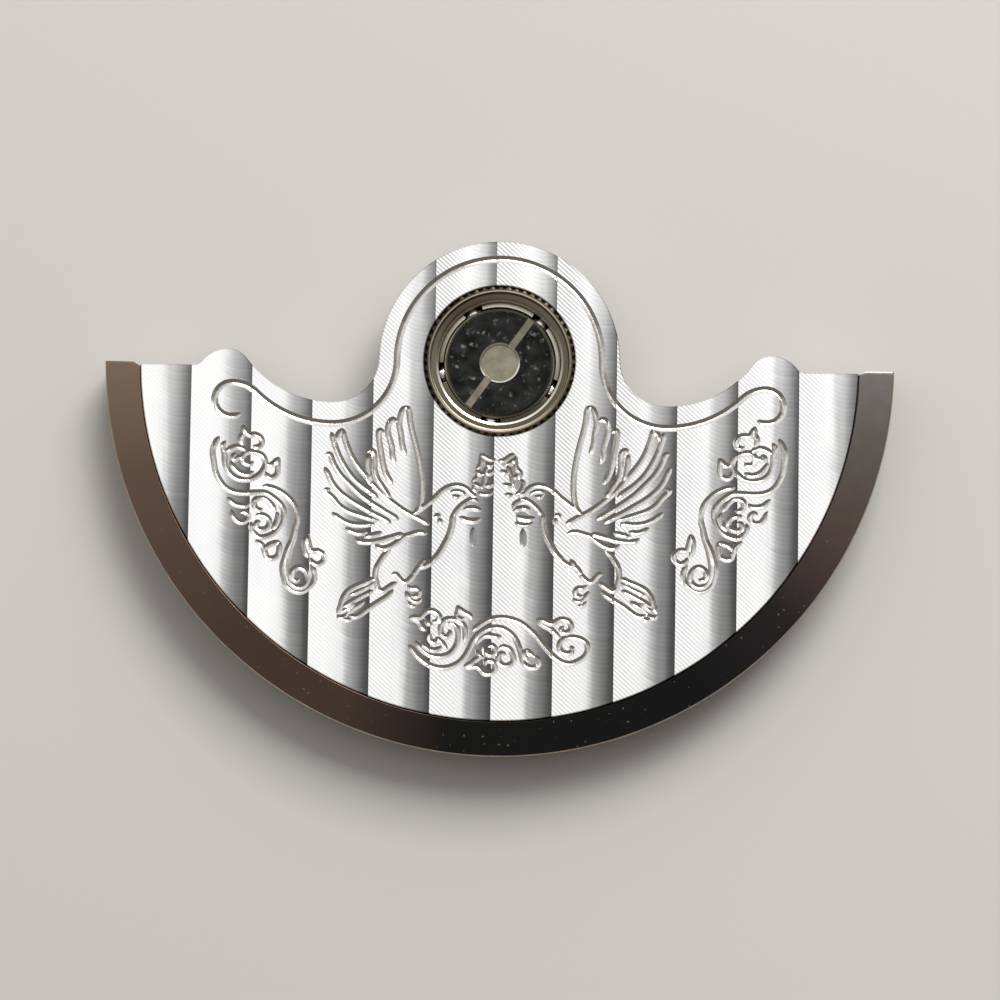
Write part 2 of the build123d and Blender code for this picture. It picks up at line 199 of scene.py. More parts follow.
SIDE_SCROLL = [
    # outer line of the upper C, which runs on into the middle curl
    (-917, -262, -11, -18, -10, -24, 0, -21, 4, -20, 6, -32, 17, -35, 23, -23, 29, -11, 32, -2, 36, 2, 28, -1, 22, -12,
     23, -18, 14, -20, 4, -23, -9, -28, -18, -26, -23, -14, -27, -5, -18, 11, -11, 18, -1, 22),
    (-896, -276, -10, -19, 6, -23, 3, -32, 13, -30, 23, -19, 25, -5, 27, 3, 23, 13, 14, 16, 8, 22, -8, 22, -14, 10,
     -18, 5, -18, 1, -14, -8, -4, -14, 10, -16, 18, -2, 9, 10),
    (-897, -314, 20, 13, 22, 5, 19, -7, 14, -9),
    (-882, -342, 12, -20, 20, -18, 25, -6, 25, 8),
    (-840, -334, -15, 4, -12, -8, -3, 13, 12, 8),
    # leaf and curl above
    (-842, -222, 9, -20, 13, -14, 18, 1, 16, -7, 9, -15, -5, -15, -15, -5, -9, 9),
    (-842, -222, 2, -28, -8, -20, 10, -22),
    # leaf and curl at the right
    (-720, -328, -16, -20, -12, -7, -12, 3),
    (-720, -328, -4, -22, 1, -22, -5, -16, -17, -9, -13, 7, -8, 14),
    # outer line of the lower stem with its end curl
    (-774, -424, 33, -6, 28, -12, 22, -16, 19, -21, 11, -25, 5, -27, -7, -32, -9, -37, -14, -31, -9, -28, -7, -31, 5,
     -32, 11, -28, 23, -17, 22, -3, 23, 12, 17, 18, 6, 22, -5, 20, -8, 18),
    (-662, -550, -4, -40, -12, -40, -8, -40, -1, -30, 9, -34, 18, -19, 21, -1, 17, 14, 4, 22, -12, 21, -20, 7, -18,
     -12, -2, -20, 14, -12, 12, 8),
    # small curl at the right of the stem
    (-622, -580, 2, -20, 8, -28, 6, -8, 20, 0, 18, -12, 1, -18, -19, -14, -19, 8, -5, 16),
    (-622, -580, -8, -30, 4, -30, 8, -20),
    # small curl at the foot of the middle one
    (-793, -603, 23, -17, 10, -22, 8, -18, 19, -2, 16, 12, 4, 24, 1, 22),
    (-712, -604, -19, -8, -18, -8, -7, -16),
    # leaf and curl at the left
    (-888, -462, 18, -18, 16, -8, 26, -2, 16, 12),
    (-874, -502, 7, -22, 17, -18, 20, 0, 13, 18, -13, 14, -16, -4),
    # inside the middle curl
    (-808, -484, 15, 16, 23, 6, 20, -14, 14, -18, 10, -14),
    (-793, -468, -5, -22, 12, -13, 18, 3),
    (-795, -522, 21, 2, 19, -8, 8, -16, -8, -18, -19, -6, -16, 8, 2, 16, 14, 2),
    (-726, -508, 6, -18, -8, -24, -14, -18),
]
FOOT_SCROLL = [
    # outer line of the left C, which runs on into the middle arch
    (-286, -938, 14, -15, 17, -21, 25, -21, 29, -14, 29, -4, 29, 6, 25, 14, 19, 21, 15, 27, 12, 25, 17, 21, 25, 15, 29,
     6, 29, -5, 25, -17, 15, -20, 12, -29, 7, -25, 8, -21, 17, -12, 20, 1, 10, 13, -4, 17, -13, 6),
    (-264, -924, 17, -21, 21, -19, 25, -10, 25, -1, 25, 9, 17, 18, 10, 24, 2, 24, -6, 22, -14, 12, -18, 0),
    (-100, -930, 2, 25, -4, 27, -16, 18, -22, 7, -20, 0, -14, -10, -6, -17, 2, -20, 12, -11, 12, 3, 5, 13, -7, 9),
    (-244, -924, 12, -18, 22, -12, 20, 1, 18, 11),
    (-212, -900, -2, -20, 14, -10, 10, 10, -7, 8),
    (-197, -912, 15, -10, 14, -18, 12, -14),
    # leaf at the upper left
    (-286, -849, 20, 1, 18, 0, 11, 12, 14, 9, 17, 0, 16, -9, 6, -14, -10, -12, -16, 2),
    (-286, -849, 26, -8, 12, -11, 8, -14, 14, -11),
    (-230, -852, 8, -14, 16, -8),
    # leaf at the top
    (-127, -805, 9, -15, 16, -11, 17, -9, 9, -16),
    (-127, -805, 3, -21, -4, -16, 14, -10, 12, 6),
    # big arch with its end curl
    (-78, -892, 18, 16, 25, 17, 25, 10, 30, 3, 29, -4, 29, -10, 25, -17, 25, -22, 21, -25, 21, -25, 25, -25, 25, -15,
     25, -4, 25, 9, 22, 16, 10, 21, -4, 20, -17, 14, -26, 6, -25, -2, -16, -11, -5, -18, 9, -17, 18, -5, 16, 8, -2, 12,
     -10, 2),
    # leaf and curl at the upper right
    (132, -848, 24, -6, 26, -9, 14, 7, 16, 7, 22, -3, 13, -16, -5, -18, -18, -6, -10, 12, 10, 10),
    (132, -848, 20, -18, 30, -16, 16, -16, 14, -12),
    # inside the arch
    (-60, -935, 4, 15, 16, 13, 22, 2, 24, -3, 16, 2),
    (-40, -941, 5, -16, 16, -11, 16, 8, 1, 16, -12, 8, -10, -8),
    (-64, -950, 12, -18, 16, -10),
    (10, -945, 17, 4, 20, -8, 9, -16, 4, -20, -12, -14, -21, -3, -14, 12, -2, 20, 13, 8, 12, -6),
    # leaf at the right of the arch
    (104, -944, 9, -16, 17, -12),
    (104, -944, -7, -14, 3, -18, 10, -10),
    # leaf and curl at the bottom
    (-104, -1008, 22, 0, 21, 2, 13, -9, 13, -13, 19, 0, 15, 13, -1, 19, -14, 10, -16, -4, 2, -14),
    (-104, -1008, 26, 12, 16, 14, 20, 6),
]
TWIG_LINES = [
    # left twig, outline
    (-63, -308, 17, -8, 19, -10, 21, -1),
    (-60, -312, 4, -20, -6, -18, -12, -10),
    (-70, -374, 0, -12, -10, -10, -8, -4),
    (-82, -410, 4, -12, 10, -12),
    (-34, -346, -8, -24, -3, -28, -5, -26),
    (-68, -436, 22, -6, 20, 3, 12, 7),
    # right twig, outline
    (-2, -329, 18, -1, 16, 10, 13, 9, 12, 1),
    (58, -312, -1, -24, 5, -20, 12, -14, -2, -20),
    (72, -390, 12, -12, -2, -16, -10, -16, -16, -8),
    (30, -344, 10, -24, 8, -28, 6, -24),
    (22, -438, 14, -5, 16, 3),
    # upper edges of the buds
    (-106, -478, 12, 14, 18, 4, 16, -8),
    (50, -490, 6, 18, 16, 10, 16, 2),
    (56, -532, 22, -10, 24, 2, 18, 10),
]
LEAVES = [
    # left twig
    (-42, -336, 12, -10, 16, 2),
    (-75, -362, 13, -11, 16, -4),
    (-42, -372, 14, 0, 16, 10),
    (-87, -400, 17, -12, 20, -5),
    (-46, -412, 18, 0, 18, 9),
    # right twig
    (6, -360, 14, -9, 18, 0),
    (14, -406, 18, -6, 20, 0),
    (52, -322, -10, -14, -16, -6),
    (70, -374, -12, -10, -14, -2),
    # buds
    (-114, -492, 18, 3, 22, 0, 24, -6),
    (-126, -516, 24, -11, 26, -3, 24, 10),
    (50, -496, 18, 8, 18, 3, 24, -5),
    (60, -510, 20, -9, 22, -2, 25, 4),
]
BODIES = [
    (6, -328, 18, -6, 18, 4, 12, 14),
    (30, -356, 16, -6, 20, -18),
    (40, -392, 18, -10, 20, -18, 6, -16),
    (60, -494, 20, -16, 20, -10, 16, 0),
    (62, -522, 22, -12, 20, -2),
    (-50, -320, 12, -22, 18, -18),
    (-108, -520, 22, -12, 26, 12),
]
STALKS = [
    (-79, -550, 0, -20, 1, -22, 0, -22),
    (84, -552, 1, -20, 1, -22, 0, -22),
]

def cuts():
    """Every cut as points, half widths and slope, tapered at its ends like a graver's line."""
    border = wave(GROOVE_HUB, GROOVE_DEPTH, GROOVE_FLANK, (CURL_X, CURL_Y))
    turns = [math.radians(90 - CURL_TURN * k / CURL_STEPS) for k in range(CURL_STEPS + 1)]
    end = [(CURL_X + CURL_RADIUS * math.cos(a), CURL_Y - CURL_RADIUS + CURL_RADIUS * math.sin(a)) for a in turns]
    right = np.vstack([even(border), even(end)[1:]])
    out = [(np.vstack([right[::-1] * [-1, 1], right[1:]]), 0.115, 0.68)]
    for group, half, slope, other in ((DOVE, 0.104, 0.74, dove_right), (BREAST, 0.12, 0.7, dove_right),
                                      (SIDE_SCROLL, 0.104, 0.74, scroll_right), (FOOT_SCROLL, 0.104, 0.74, None),
                                      (TWIG_LINES, 0.09, 0.74, None), (LEAVES, 0.11, 0.6, None),
                                      (BODIES, 0.16, 0.07, None), (STALKS, 0.12, 0.3, None)):
        for points in map(smooth, group):
            out.append((points, half, slope))
            if other:
                out.append((other(-points[:, 0], points[:, 1]), half, slope))
    tapered = []
    for points, half, slope in out:
        along = length_along(points)
        near = np.minimum(along, along[-1] - along)
        share = np.sqrt(np.clip(near / min(1.6 * half, along[-1] / 2.4), 0, 1))
        tapered.append((points, half * share, slope))
    return tapered


def dove_right(x, y):
    """The right dove, nearly the left one's mirror image."""
    return np.stack([x - 0.02 * (y + 4.5), y + 0.04 + 0.027 * (x - 1.3)], 1)


def scroll_right(x, y):
    """The right scroll, nearly the left one's mirror image."""
    return np.stack([x + 0.02 - 0.03 * (y + 2.5), y + 0.18], 1)


def flute_height(x):
    """The plate's fluted top, on arcs that fall to the right and step up again."""
    t = np.minimum(((x - FLUTE_OFFSET) / FLUTE_PITCH) % 1.0, FLUTE_END) * FLUTE_PITCH
    return PLATE_TOP + 0.0175 * t - 0.02375 * t * t


def inside(points, loop):
    """Which of the points lie inside the closed loop."""
    px, py = points[:, 0], points[:, 1]
    found = np.zeros(len(points), bool)
    loop = np.array(loop)
    for (ax, ay), (bx, by) in zip(loop, np.roll(loop, -1, 0)):
        if by != ay:
            found ^= ((ay > py) != (by > py)) & (px < (bx - ax) * (py - ay) / (by - ay) + ax)
    return found


def cut_depth(points, strokes):
    """How deep each point lies in the engraving, from the strokes that pass near its cell of a grid."""
    starts, ends = (np.vstack([p[part] for p, _, _ in strokes]) for part in (slice(-1), slice(1, None)))
    wide_a, wide_b = (np.concatenate([w[part] for _, w, _ in strokes]) for part in (slice(-1), slice(1, None)))
    slopes = np.concatenate([np.full(len(p) - 1, slope) for p, _, slope in strokes])
    cell, reach = 0.4, 0.16
    low = np.floor((np.minimum(starts, ends) - reach) / cell).astype(int)
    high = np.floor((np.maximum(starts, ends) + reach) / cell).astype(int)
    near, members = {}, {}
    for k, (a, b) in enumerate(zip(low, high)):
        for i in range(a[0], b[0] + 1):
            for j in range(a[1], b[1] + 1):
                near.setdefault((i, j), []).append(k)
    for k, key in enumerate(map(tuple, np.floor(points / cell).astype(int))):
        if key in near:
            members.setdefault(key, []).append(k)
    depth = np.zeros(len(points))
    for key, own in members.items():
        s = near[key]
        p, a, b = points[own][:, None, :], starts[s][None], ends[s][None]
        along = np.clip(np.sum((p - a) * (b - a), 2) / np.maximum(np.sum((b - a) ** 2, 2), 1e-12), 0, 1)
        gap = np.linalg.norm(p - a - along[..., None] * (b - a), axis=2)
        wide = wide_a[s] + along * (wide_b[s] - wide_a[s])
        depth[own] = np.max(np.clip(wide - gap - 0.0015, 0, None) * slopes[s][None], 1)
    return depth


# Meshes

def to_mesh(name, points, faces):
    """A closed mesh with its faces turned outwards."""
    mesh = bpy.data.meshes.new(name)
    mesh.from_pydata([tuple(p) for p in points], [], [tuple(int(i) for i in f) for f in faces])
    mesh.validate()
    rework(mesh, lambda work: bmesh.ops.recalc_face_normals(work, faces=work.faces))
    return mesh


def rework(mesh, change):
    """The mesh after a change made in bmesh."""
    work = bmesh.new()
    work.from_mesh(mesh)
    change(work)
    work.to_mesh(mesh)
    work.free()


def linked(name, data):
    """An object of the data, put into the scene."""
    item = bpy.data.objects.new(name, data)
    bpy.context.scene.collection.objects.link(item)
    return item


def finish_piece(name, mesh, materials, body, node, sharp, index=None):
    """Scale the mesh to metres, shade it, give it its materials and its body, and hide the node it stands in for."""
    mesh.materials.clear()
    for material in materials:
        mesh.materials.append(material)
    if index is not None:
        mesh.polygons.foreach_set("material_index", index)
    # cuts leave faces without area behind
    rework(mesh, lambda work: bmesh.ops.dissolve_degenerate(work, dist=SLIVER, edges=work.edges))
    mesh.transform(Matrix.Scale(MM, 4))
    mesh.validate()
    mesh.shade_smooth()
    mesh.set_sharp_from_angle(angle=math.radians(sharp))
    if index is not None:
        split_materials(mesh)
    mesh.update()
    piece = linked(name, mesh)
    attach(piece, body)
    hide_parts(node)


def split_materials(mesh):
    """A hard edge wherever two materials meet."""
    def read(items, name, kind=int):
        values = np.zeros(len(items), kind)
        items.foreach_get(name, values)
        return values

    edges = read(mesh.loops, "edge_index")
    owner = np.repeat(read(mesh.polygons, "material_index"), read(mesh.polygons, "loop_total"))
    least, most = np.full(len(mesh.edges), 99), np.full(len(mesh.edges), -1)
    np.minimum.at(least, edges, owner)
    np.maximum.at(most, edges, owner)
    mesh.edges.foreach_set("use_edge_sharp", read(mesh.edges, "use_edge_sharp", bool) | (least != most))


def soften(profile, radius, closed=True):
    """The profile with its corners rounded in three steps each."""
    out = []
    count = len(profile)
    for k in range(count):
        p = Vector(profile[k])
        before, after = Vector(profile[k - 1]) - p, Vector(profile[(k + 1) % count]) - p
        reach = min(radius, 0.4 * before.length, 0.4 * after.length)
        before.normalize()
        after.normalize()
        if before.dot(after) < -0.9999 or not closed and k in (0, count - 1):
            out.append(tuple(p))
            continue
        a, b = p + before * reach, p + after * reach
        out.append(tuple(p + before * reach * 1.2))
        for t in (0, 1 / 3, 2 / 3, 1):
            out.append(tuple(a * (1 - t) ** 2 + p * 2 * t * (1 - t) + b * t * t))
        out.append(tuple(p + after * reach * 1.2))
    return out


def turned(profile, angles, closed=True):
    """Points and faces of a profile in radius and height, turned about the axis at the given angles.

    The profile is a list, or a function of the angle. An open one starts and ends on the axis.
    """
    at = profile if callable(profile) else lambda angle: profile
    first = at(angles[0])
    count = len(first)
    poles = () if closed else (0, count - 1)
    points = [(0, 0, first[k][1]) for k in poles]
    rings = []
    for angle in angles:
        ring = []
        for k, (r, z) in enumerate(at(angle)):
            if k in poles:
                ring.append(poles.index(k))
            else:
                ring.append(len(points))
                points.append((r * math.cos(angle), r * math.sin(angle), z))
        rings.append(ring)
    faces = []
    for a, b in zip(rings, rings[1:] + rings[:1]):
        for k in range(count if closed else count - 1):
            m = (k + 1) % count
            faces.append(list(dict.fromkeys((a[k], b[k], b[m], a[m]))))
    return points, [face for face in faces if len(face) > 2]


def round_angles(count):
    """Even angles all round."""
    return [2 * math.pi * k / count for k in range(count)]


def carve(mesh, cutters, bevel):
    """The mesh with the cutters taken out of it and its sharp edges broken."""
    target = linked("carve_target", mesh)
    helpers = [linked("carve_helper", cutter) for cutter in cutters]
    for helper in helpers:
        modifier = target.modifiers.new("cut", "BOOLEAN")
        modifier.operation, modifier.solver, modifier.object = "DIFFERENCE", "EXACT", helper
    modifier = target.modifiers.new("edge", "BEVEL")
    modifier.width, modifier.segments, modifier.limit_method = bevel, 2, "ANGLE"
    modifier.angle_limit = math.radians(50)
    modifier.harden_normals = False
    bpy.context.view_layer.update()
    graph = bpy.context.evaluated_depsgraph_get()
    out = bpy.data.meshes.new_from_object(target.evaluated_get(graph))
    for helper in helpers + [target]:
        bpy.data.objects.remove(helper)
    return out


def triangles(points, edges, outer, hole=None, near=1e-7):
    """Flat triangles between the edges, inside the outer loop and outside the hole.

    Also the number of the given point that each corner was first made from.
    """
    flat, _, faces, origins, *_ = delaunay_2d_cdt([Vector(p) for p in points], edges, [], 0, near)
    flat, faces = np.array([tuple(v) for v in flat]), np.array([tuple(f) for f in faces])
    middle = flat[faces].mean(1)
    keep = inside(middle, outer)
    if hole:
        keep &= ~inside(middle, hole)
    return flat, faces[keep], [o[0] if o else None for o in origins]


# Materials

def srgb(*levels):
    """A colour written as it should show, from 0 to 255."""
    return tuple(c / 255 / 12.92 if c / 255 <= 0.04045 else ((c / 255 + 0.055) / 1.055) ** 2.4 for c in levels) + (1.0,)


class Value:
    """A node's output, to be reckoned with like a number."""

    def __init__(self, graph, socket):
        self.graph, self.socket = graph, socket

    def out(self, name):
        return Value(self.graph, self.socket.node.outputs[name])

    def __add__(self, other):
        return self.graph.math("ADD", self, other)

    def __sub__(self, other):
        return self.graph.math("SUBTRACT", self, other)

    def __rsub__(self, other):
        return self.graph.math("SUBTRACT", other, self)

    def __mul__(self, other):
        return self.graph.math("MULTIPLY", self, other)

    def __truediv__(self, other):
        return self.graph.math("DIVIDE", self, other)


class Graph:
    """The nodes of a material or of the world."""

    def __init__(self, tree):
        self.tree = tree

    def plug(self, socket, value):
        if isinstance(value, Value):
            self.tree.links.new(value.socket, socket)
        else:
            socket.default_value = value

    def node(self, kind, inputs=(), output=0, **settings):
        """The output of a new node with these inputs, given by name or number."""
        node = self.tree.nodes.new("ShaderNode" + kind)
        for name, value in settings.items():
            setattr(node, name, value)
        for key, value in dict(inputs).items():
            self.plug(node.inputs[key], value)
        return Value(self, node.outputs[output])

    def math(self, operation, *values):
        return self.node("Math", enumerate(values), operation=operation)

    def combine(self, *values):
        return self.node("CombineXYZ", enumerate(values))

    def noise(self, vector, scale=1.0, detail=2.0, roughness=0.5):
        return self.node("TexNoise", {"Vector": vector, "Scale": scale, "Detail": detail, "Roughness": roughness},
                         "Fac")

    def ramp(self, value, *stops):
        """Colours or levels between the stops, each a position and a colour or a level."""
        out = self.node("ValToRGB", {0: value})
        elements = out.socket.node.color_ramp.elements
        while len(elements) < len(stops):
            elements.new(0.5)
        for element, (position, colour) in zip(elements, stops):
            element.position = position
            element.color = colour if hasattr(colour, "__len__") else (colour, colour, colour, 1)
        return out

    def mix(self, factor, a, b, blend="MIX"):
        return self.node("Mix", {0: factor, 6: a, 7: b}, 2, data_type="RGBA", blend_type=blend)


class Shader(Graph):
    """One procedural material, with its place on the part in millimetres."""

    def __init__(self, name):
        self.material = bpy.data.materials.new(name)
        self.material.use_nodes = True
        super().__init__(self.material.node_tree)
        self.place = self.node("VectorMath", {0: self.node("TexCoord", output="Object"), "Scale": 1 / MM},
                               operation="SCALE")
        split = self.node("SeparateXYZ", {0: self.place})
        self.x, self.y, self.z = (split.out(name) for name in "XYZ")

    def radius(self):
        return self.math("SQRT", self.x * self.x + self.y * self.y)

    def tinted(self, colour, tint):
        return self.mix(1.0, colour, tint, "MULTIPLY")

    def rings(self, scale, detail=2.0, sides=True):
        """Fine turned rings, on the sides too."""
        return self.noise(self.combine(self.radius() * scale, self.z * scale if sides else 0.0, 0.0), 1.0, detail)

    def blend(self, value, low, dark, high, light):
        """From the dark colour to the light one, as the value goes from low to high."""
        return self.ramp(value, (low, srgb(*dark)), (high, srgb(*light)))

    def tints(self, value, stops):
        """Colours between the stops, each a position and a colour."""
        return self.ramp(value, *[(at, srgb(*colour)) for at, *colour in stops])

    def finish(self, colour, roughness, metallic=1.0, height=None, depth=0.0, **extra):
        """The material, with a bump of the given depth in millimetres where it has a height."""
        inputs = {"Base Color": colour, "Roughness": roughness, "Metallic": metallic, **extra}
        if height:
            inputs["Normal"] = self.node("Bump", {"Strength": 1.0, "Distance": depth * MM, "Height": height})
        for name, value in inputs.items():
            self.plug(self.tree.nodes["Principled BSDF"].inputs[name], value)
        return self.material


def fluted_nickel():
    """Nickel with fly-cut tool lines, and painted shade that darkens it towards the low side of each flute."""
    s = Shader("fluted_nickel")
    flute = (s.x - FLUTE_OFFSET) / FLUTE_PITCH
    u = s.math("FRACT", flute)
    # the tool's lines climb to the right and level off
    right = s.math("MINIMUM", u * FLUTE_PITCH, TOOL_LEVEL)
    bent = s.math("MAXIMUM", right - TOOL_BEND, 0.0)
    flat = bent * bent * (TOOL_SLOPE / (2 * (TOOL_LEVEL - TOOL_BEND)))
    phase = (s.y + (right * TOOL_SLOPE - flat)) / TOOL_PITCH
    line = s.math("SINE", phase * (2 * math.pi))
    jitter = s.noise(s.combine(s.math("FLOOR", phase) * 3.1, s.math("FLOOR", flute), 0.0), 1.0, 0.0)
    streak = s.noise(s.combine(s.x * 2.6, s.y * 0.16, 0.0))
    # the painted shade's edge wavers with the tool lines and with long streaks
    comb = s.math("MULTIPLY_ADD", line, 0.008, (jitter - 0.5) * 0.07)
    shift = comb + (streak - 0.5) * 0.2
    swing = u * (1.15 - u) * 3.0
    at = (u + shift * swing) / 1.1
    # painted shade across a flute, in place of its reflection, low and high on the plate
    low = s.ramp(at, (0.25, 1.0), (0.41, 0.93), (0.48, 0.82), (0.58, 0.42), (0.67, 0.28), (0.85, 0.09), (1.0, 0.03))
    high = s.ramp(at, (0.46, 0.96), (0.65, 0.74), (0.74, 0.56), (0.86, 0.26), (0.92, 0.16), (1.0, 0.12))
    rise = s.math("MAXIMUM", s.math("MINIMUM", (s.y + 8.0) / 10.9, 1.0), 0.0)
    shade = s.mix(rise * rise, low, high)
    # how strong the lines are
    across = s.ramp((s.x + 12.0) / 24.0, (0.0, 0.06), (0.2, 0.10), (0.3, 0.26), (0.4, 0.46), (0.65, 0.5), (0.8, 0.36),
                    (1.0, 0.26))
    along = s.ramp((s.y + 12.0) / 16.0, (0.0, 0.6), (0.3, 0.8), (0.6, 1.0), (1.0, 1.0))
    over = s.ramp(u, (0.0, 1.0), (0.2, 1.0), (0.4, 0.6), (0.55, 0.2), (0.75, 0.07), (1.0, 0.05))
    half = s.math("MULTIPLY_ADD", line, 0.5, 0.5)
    lines = 1.0 - half * half * (across * along * over * 1.15)
    tone = s.blend(s.noise(s.place, 0.55, 3.0), 0.3, (246, 246, 247), 0.7, (255, 255, 253))
    lined = s.tinted(shade, s.combine(lines, lines, lines))
    return s.finish(s.tinted(lined, tone), 0.22, height=line * 0.5, depth=0.0005)


def cut_nickel():
    """The bright walls of the engraved lines, the lit copy of the cut metal; walls facing -Y take shaded_cut, a darker
    copy that paints their shade.
    """
    s = Shader("cut_nickel")
    grain = s.noise(s.place, 9.0, 3.0)
    return s.finish(s.blend(grain, 0.3, (204, 203, 200), 0.7, (226, 226, 223)), 0.25, height=grain, depth=0.003)


def ringed(name, rings, dark, light, roughness, detail, depth):
    """Metal with fine turned rings."""
    s = Shader(name)
    grain = s.rings(rings, detail, False)
    return s.finish(s.blend(grain, 0.3, dark, 0.7, light), roughness, height=grain, depth=depth)


def rim_metal():
    """Dark polished alloy; its colour round the rim is painted reflection and shade: brown on the left, black at the
    bottom and grey on the right.
    """
    s = Shader("rim_metal")
    # painted reflection and shade by the angle round the rim
    at = s.math("ARCTAN2", s.y * -1.0, s.x) / math.pi + (s.noise(s.place, 0.32) - 0.5) * 0.02
    tint = s.tints(at, [
        (0.0, 112, 108, 104), (0.06, 90, 86, 80), (0.15, 76, 62, 58), (0.23, 38, 35, 35), (0.32, 24, 24, 24),
        (0.54, 25, 25, 24), (0.63, 66, 52, 46), (0.74, 68, 54, 47), (0.9, 90, 74, 63), (1.0, 118, 100, 86)])
    speck = s.ramp(s.noise(s.place, 7.5, 1.0), (0.0, 0.0), (0.735, 0.0), (0.77, 1.0))
    roughness = s.ramp(s.noise(s.place, 2.0, 3.0), (0.3, 0.16), (0.7, 0.24))
    return s.finish(s.mix(speck, tint, srgb(96, 84, 82)), roughness, height=s.rings(30.0), depth=0.0008)


def steel(name, dark, light, roughness, scale=22.0, depth=0.0015, round_=None, metallic=1.0):
    """Turned steel with fine rings. Round tints it by the angle about the axis, from -X through -Y, which paints light
    and shade on it.
    """
    s = Shader(name)
    rings = s.rings(scale)
    colour = s.blend(rings * 0.5 + s.noise(s.place, 2.3, 3.0) * 0.5, 0.32, dark, 0.68, light)
    if round_:
        # painted light and shade by the angle about the axis
        turn = s.math("FRACT", s.math("ARCTAN2", s.y * -1.0, s.x * -1.0) / (2 * math.pi) + 1.0)
        colour = s.tinted(colour, s.tints(turn + (s.noise(s.place, 0.9) - 0.5) * 0.05, round_))
    return s.finish(colour, roughness, metallic, rings, depth)


def black_screw():
    """Black polished steel with settled dust and faint haze."""
    s = Shader("black_screw")
    specks = s.ramp(s.noise(s.place, 4.6, 1.6, 0.6), (0.0, 0.0), (0.6, 0.0), (0.7, 0.4), (0.8, 0.9))
    haze = s.noise(s.place, 1.7, 3.0, 0.6)
    colour = s.mix(specks, s.blend(haze, 0.35, (24, 25, 24), 0.7, (51, 52, 49)), srgb(116, 117, 114))
    return s.finish(colour, s.ramp(specks, (0.0, 0.2), (1.0, 0.5)), height=haze, depth=0.0008)


def slot_steel():
    """The screw's bare slot and recess, greyer than its black face."""
    s = Shader("slot_steel")
    cloud = s.noise(s.place, 2.6)
    # painted reflection and shade along the slot: mauve grey toward the lower-left end, white in the middle, a darker
    # green grey toward the upper right
    ends = s.tints((s.x * 0.58 + s.y * 0.81) / 4.0 + 0.5, [
        (0.0, 232, 226, 232), (0.3, 236, 230, 236), (0.36, 255, 255, 255), (0.64, 252, 252, 250),
        (0.72, 212, 218, 216), (1.0, 222, 226, 220)])
    colour = s.blend(cloud, 0.35, (126, 121, 106), 0.65, (148, 143, 124))
    return s.finish(s.tinted(colour, ends), 0.2, height=cloud, depth=0.0006)


# The pieces

def turned_piece(name, profile, materials, body, node, angles=256, sharp=32, pick=None):
    """A piece turned about the axis. Pick gives a face's material number from its radius and height."""
    mesh = to_mesh(name, *turned(profile, round_angles(angles) if isinstance(angles, int) else angles))
    index = pick and [pick(p.center.to_2d().length, p.center.z) for p in mesh.polygons]
    finish_piece(name, mesh, materials, body, node, sharp, index)


